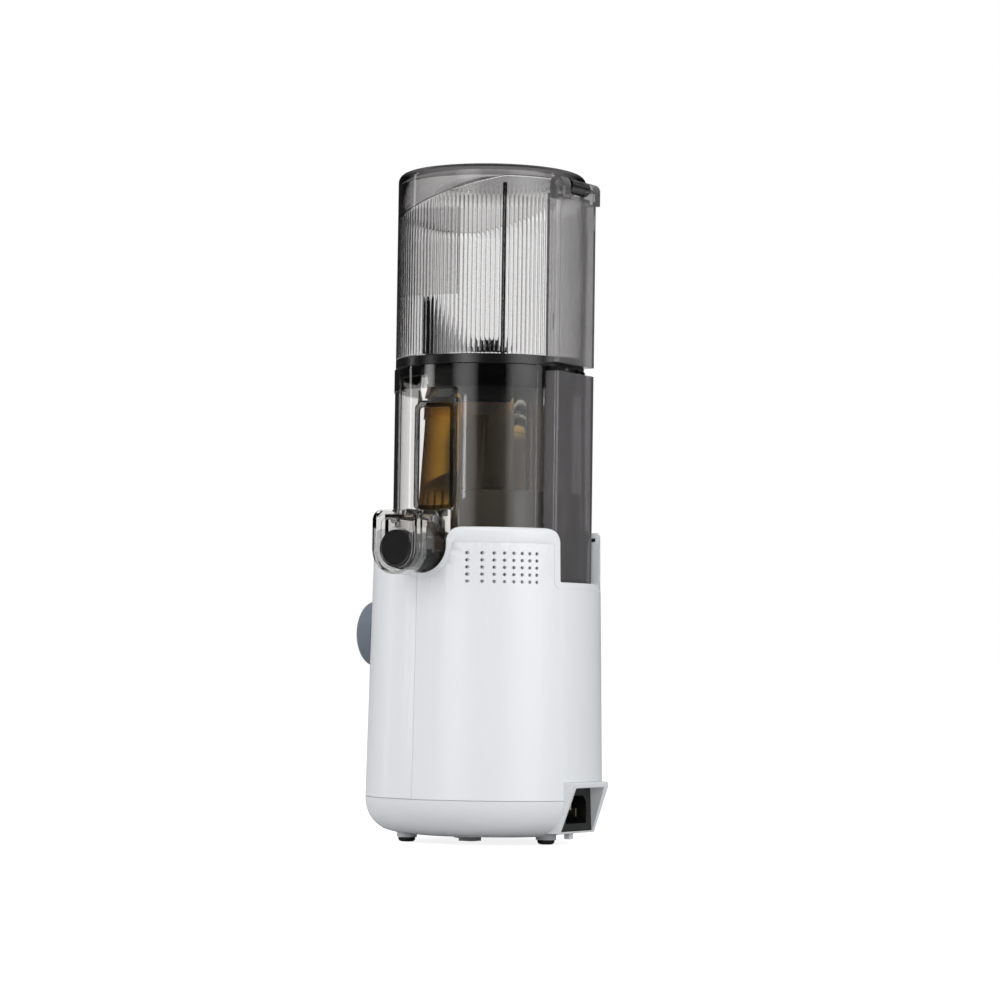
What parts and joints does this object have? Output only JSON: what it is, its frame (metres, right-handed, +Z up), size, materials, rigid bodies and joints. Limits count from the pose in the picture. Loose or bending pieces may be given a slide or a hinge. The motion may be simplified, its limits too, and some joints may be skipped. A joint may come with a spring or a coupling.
{
  "type": "cold press juicer",
  "caption": "Upright slow juicer with a round motor base, a lift-off juicing bowl with side spout, strainer and auger, a fluted hopper with hinged lid and a rear pulp bin.",
  "frame": {"origin": "on the drive axis at the height of the feet's undersides", "axes": "+X towards the juice spout, -Y towards the front with the knob, +Y towards the rear, +Z up"},
  "size_m": [0.1757, 0.1605, 0.418],
  "materials": {
    "white_shell": "satin moulded white",
    "white_pan": "satin moulded white",
    "black_rubber": "soft matt",
    "black_plastic": "moulded black",
    "contact_metal": "plated",
    "zinc_steel": "zinc plated",
    "lamination": "stacked laminations",
    "copper_wire": "enamelled winding",
    "bearing_steel": "ground",
    "cast_frame": "die cast",
    "gear_nylon": "natural nylon",
    "green_board": "solder mask",
    "knob_grey": "soft-touch blue grey",
    "clear_smoke": "light smoke transparent",
    "dark_smoke": "grey smoke transparent",
    "brown_guide": "brown-grey, translucent",
    "silicone": "silicone",
    "amber": "amber translucent",
    "auger_black": "gloss black"
  },
  "bodies": {
    "base": {"rear_housing": "white_shell", "front_cover": "white_shell", "deck_plate": "white_shell", "bottom_pan": "white_pan", "rubber_feet": "black_rubber", "inlet_hood": "white_pan", "power_inlet": "black_plastic", "inlet_pins": "contact_metal", "housing_screws": "zinc_steel", "chassis_plate": "zinc_steel", "stator_core": "lamination", "field_coils": "copper_wire", "motor_end_frame": "cast_frame", "lower_bearing": "bearing_steel", "upper_bearing": "bearing_steel", "gearbox_housing": "cast_frame", "gearbox_cover": "cast_frame", "output_bearing": "bearing_steel", "shaft_seal": "silicone", "gearbox_screws": "zinc_steel", "circuit_board": "green_board", "board_components": "black_plastic", "rotary_switch": "black_plastic"},
    "rotor": {"rotor_core": "lamination", "motor_shaft": "bearing_steel", "cooling_fan": "black_plastic"},
    "first_planet_1": {"first_planet_a": "gear_nylon"},
    "first_planet_2": {"first_planet_b": "gear_nylon"},
    "first_planet_3": {"first_planet_c": "gear_nylon"},
    "first_stage": {"first_carrier": "zinc_steel"},
    "second_planet_1": {"second_planet_a": "gear_nylon"},
    "second_planet_2": {"second_planet_b": "gear_nylon"},
    "second_planet_3": {"second_planet_c": "gear_nylon"},
    "output": {"output_carrier": "zinc_steel"},
    "knob": {"speed_knob": "knob_grey"},
    "bowl": {"juice_bowl": "clear_smoke", "pulp_guide": "brown_guide", "bowl_seal": "silicone"},
    "cap": {"spout_cap": "clear_smoke", "cap_plug": "silicone", "cap_pins": "bearing_steel"},
    "strainer_body": {"strainer": "amber"},
    "screw": {"auger": "auger_black", "drive_insert": "bearing_steel"},
    "wing": {"feed_wing": "auger_black"},
    "hopper": {"hopper_shell": "dark_smoke", "hopper_ring": "auger_black", "hinge_pin": "bearing_steel"},
    "lid": {"hopper_lid": "dark_smoke"},
    "bin": {"pulp_bin": "dark_smoke"}
  },
  "joints": [
    {"name": "drive_spin", "type": "hinge", "parent": "base", "child": "output", "pos_m": [0, 0, 0.15], "axis": [0, 0, 1], "continuous": true},
    {"name": "first_stage_spin", "type": "hinge", "parent": "base", "child": "first_stage", "pos_m": [0, 0, 0.11], "axis": [0, 0, 1], "continuous": true},
    {"name": "rotor_spin", "type": "hinge", "parent": "base", "child": "rotor", "pos_m": [0, 0, 0.06], "axis": [0, 0, 1], "continuous": true},
    {"name": "second_planet_spin_1", "type": "hinge", "parent": "output", "child": "second_planet_1", "pos_m": [0.01875, 0, 0.12], "axis": [0, 0, 1], "continuous": true},
    {"name": "first_planet_spin_1", "type": "hinge", "parent": "first_stage", "child": "first_planet_1", "pos_m": [0.01875, 0, 0.1], "axis": [0, 0, 1], "continuous": true},
    {"name": "second_planet_spin_2", "type": "hinge", "parent": "output", "child": "second_planet_2", "pos_m": [-0.00937, 0.01624, 0.12], "axis": [0, 0, 1], "continuous": true},
    {"name": "first_planet_spin_2", "type": "hinge", "parent": "first_stage", "child": "first_planet_2", "pos_m": [-0.00937, 0.01624, 0.1], "axis": [0, 0, 1], "continuous": true},
    {"name": "second_planet_spin_3", "type": "hinge", "parent": "output", "child": "second_planet_3", "pos_m": [-0.00937, -0.01624, 0.12], "axis": [0, 0, 1], "continuous": true},
    {"name": "first_planet_spin_3", "type": "hinge", "parent": "first_stage", "child": "first_planet_3", "pos_m": [-0.00937, -0.01624, 0.1], "axis": [0, 0, 1], "continuous": true},
    {"name": "knob_turn", "type": "hinge", "parent": "base", "child": "knob", "pos_m": [0, -0.08, 0.1288], "axis": [0, 1, 0], "range_deg": [-50, 50]},
    {"name": "bowl_lift", "type": "slide", "parent": "base", "child": "bowl", "axis": [0, 0, 1], "range_m": [0, 0.06]},
    {"name": "cap_swing", "type": "hinge", "parent": "bowl", "child": "cap", "pos_m": [0.081, -0.004, 0.1968], "axis": [0, -1, 0], "range_deg": [0, 90]},
    {"name": "strainer_lift", "type": "slide", "parent": "bowl", "child": "strainer_body", "axis": [0, 0, 1], "range_m": [0, 0.12]},
    {"name": "auger_spin", "type": "hinge", "parent": "strainer_body", "child": "screw", "pos_m": [0, 0, 0.2], "axis": [0, 0, 1], "continuous": true},
    {"name": "hopper_lift", "type": "slide", "parent": "strainer_body", "child": "hopper", "axis": [0, 0, 1], "range_m": [0, 0.08]},
    {"name": "wing_spin", "type": "hinge", "parent": "hopper", "child": "wing", "pos_m": [0, 0, 0.3], "axis": [0, 0, 1], "continuous": true},
    {"name": "lid_swing", "type": "hinge", "parent": "hopper", "child": "lid", "pos_m": [0, 0.06, 0.4058], "axis": [-1, 0, 0], "range_deg": [0, 100]},
    {"name": "bin_slide", "type": "slide", "parent": "base", "child": "bin", "axis": [0, 1, 0], "range_m": [0, 0.12]}
  ],
  "couplings": [
    {"joint": "first_stage_spin", "follows": "drive_spin", "ratio": 5},
    {"joint": "rotor_spin", "follows": "drive_spin", "ratio": 25},
    {"joint": "second_planet_spin_1", "follows": "drive_spin", "ratio": -2.6667},
    {"joint": "first_planet_spin_1", "follows": "drive_spin", "ratio": -13.333},
    {"joint": "second_planet_spin_2", "follows": "drive_spin", "ratio": -2.6667},
    {"joint": "first_planet_spin_2", "follows": "drive_spin", "ratio": -13.333},
    {"joint": "second_planet_spin_3", "follows": "drive_spin", "ratio": -2.6667},
    {"joint": "first_planet_spin_3", "follows": "drive_spin", "ratio": -13.333},
    {"joint": "auger_spin", "follows": "drive_spin", "ratio": 1},
    {"joint": "wing_spin", "follows": "drive_spin", "ratio": 1}
  ]
}
